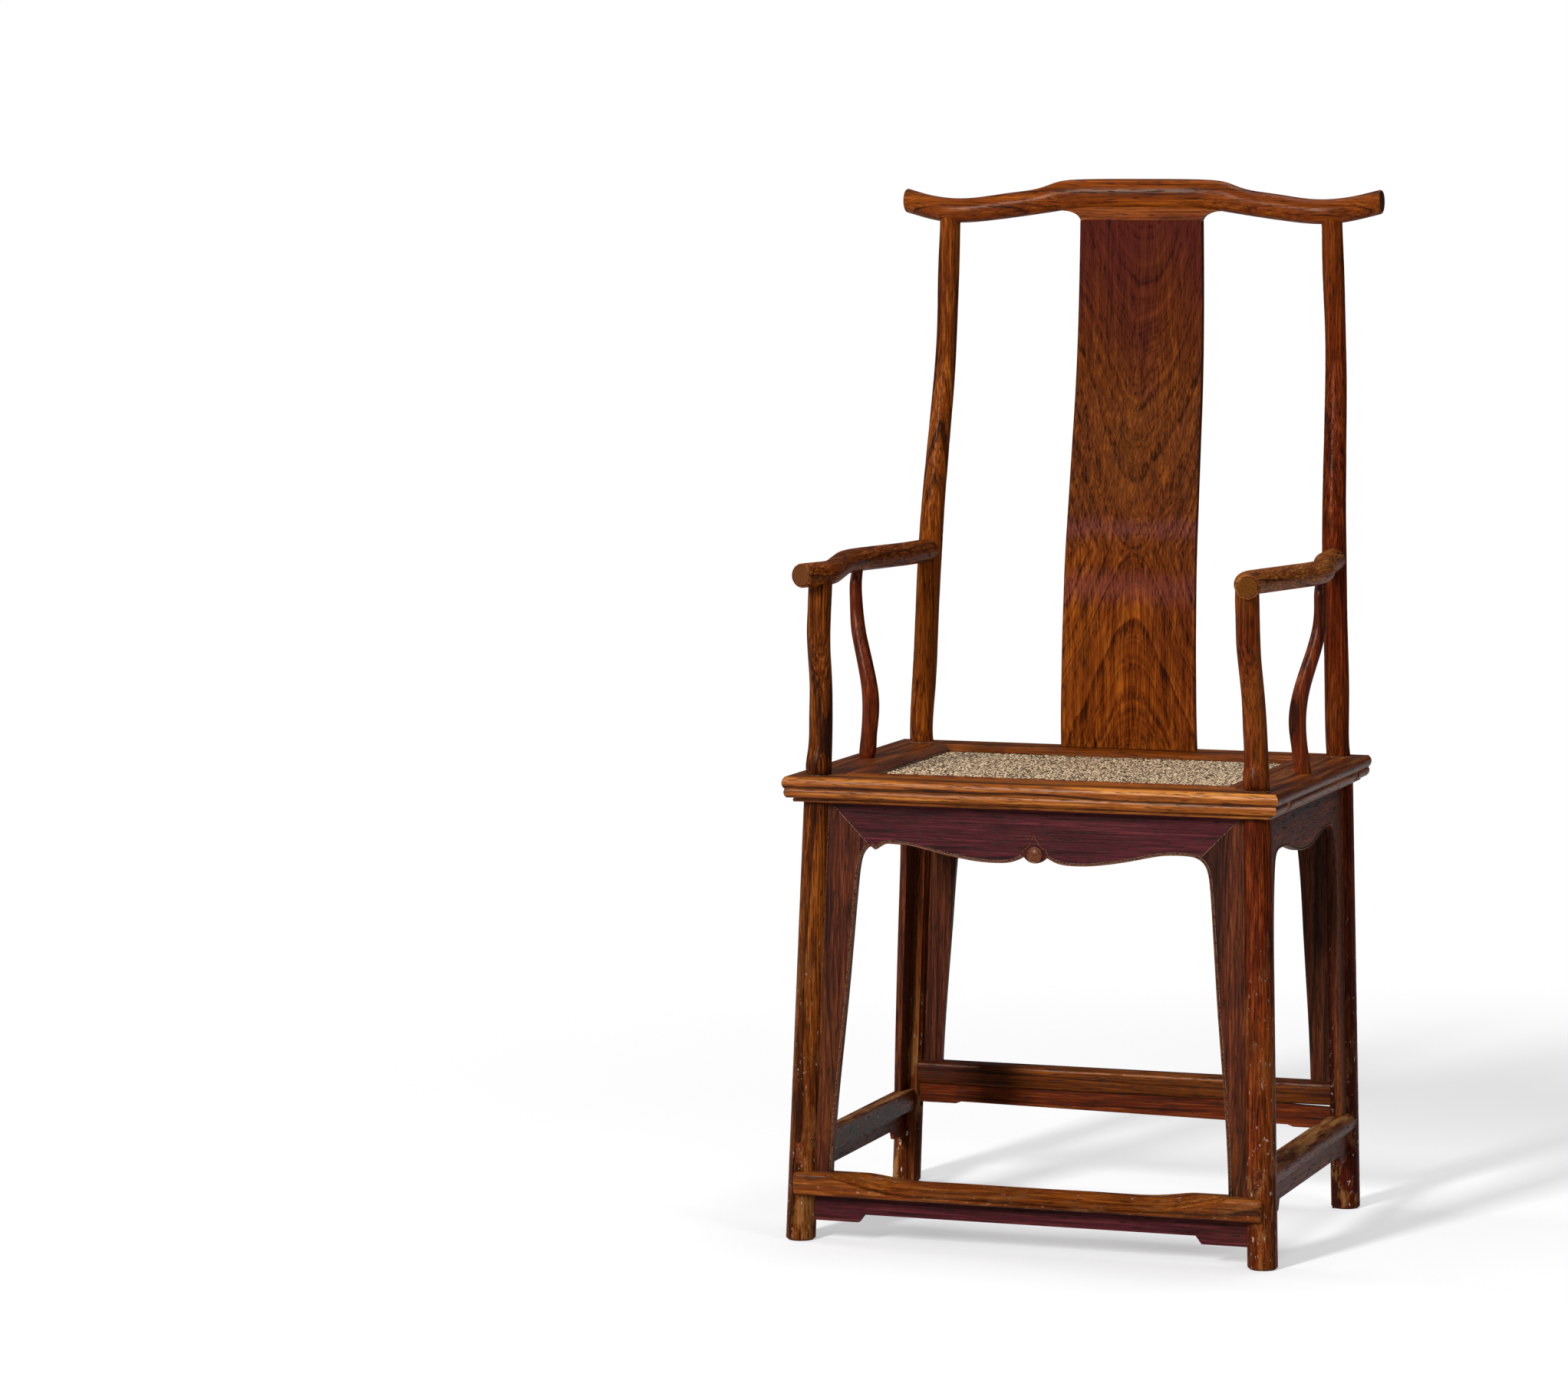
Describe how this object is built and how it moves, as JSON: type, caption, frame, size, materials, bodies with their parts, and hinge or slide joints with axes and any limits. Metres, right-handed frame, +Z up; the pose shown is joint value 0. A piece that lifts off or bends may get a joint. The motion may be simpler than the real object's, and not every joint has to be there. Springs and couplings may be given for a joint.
{
  "type": "official hat armchair",
  "caption": "Yoke-back armchair with projecting crest rail, S-curved splat, bowed arms on serpentine side posts, soft mat seat in a mitred frame, and stretchers with aprons.",
  "frame": {"origin": "middle of the footprint box, on the floor", "axes": "+X to the chair's right side seen from the front, -Y the front, +Z up"},
  "size_m": [0.5866, 0.5083, 1.2029],
  "materials": {
    "hardwood": "polished red-brown hardwood, open grain",
    "worn_wood": "polished hardwood, worn orange",
    "apron_wood": "polished maroon hardwood",
    "cane": "woven soft cane matting",
    "palm_fibre": "woven palm fibre cord",
    "bamboo": "dark bamboo pegs"
  },
  "bodies": {
    "root": {"apron_front": "apron_wood", "apron_left": "apron_wood", "apron_rear": "apron_wood", "apron_right": "apron_wood", "armrest_left": "hardwood", "armrest_right": "hardwood", "back_splat": "hardwood", "cane_mat": "cane", "crest_rail": "hardwood", "foot_rail": "worn_wood", "foot_rail_apron": "apron_wood", "front_leg_left": "hardwood", "front_leg_right": "hardwood", "mat_strip_front": "hardwood", "mat_strip_left": "hardwood", "mat_strip_rear": "hardwood", "mat_strip_right": "hardwood", "palm_webbing": "palm_fibre", "rear_leg_left": "hardwood", "rear_leg_right": "hardwood", "seat_brace_left": "hardwood", "seat_brace_right": "hardwood", "seat_rail_front": "hardwood", "seat_rail_left": "hardwood", "seat_rail_rear": "hardwood", "seat_rail_right": "hardwood", "side_post_left": "hardwood", "side_post_right": "hardwood", "spandrel_front_left": "hardwood", "spandrel_front_right": "hardwood", "spandrel_left_front": "hardwood", "spandrel_left_rear": "hardwood", "spandrel_patch": "hardwood", "spandrel_rear_left": "hardwood", "spandrel_rear_right": "hardwood", "spandrel_right_front": "hardwood", "spandrel_right_rear": "hardwood", "stretcher_apron_left": "apron_wood", "stretcher_apron_rear": "apron_wood", "stretcher_apron_right": "apron_wood", "stretcher_left": "hardwood", "stretcher_rear": "hardwood", "stretcher_right": "hardwood", "strip_pegs": "bamboo", "webbing_plugs": "bamboo"}
  },
  "joints": []
}
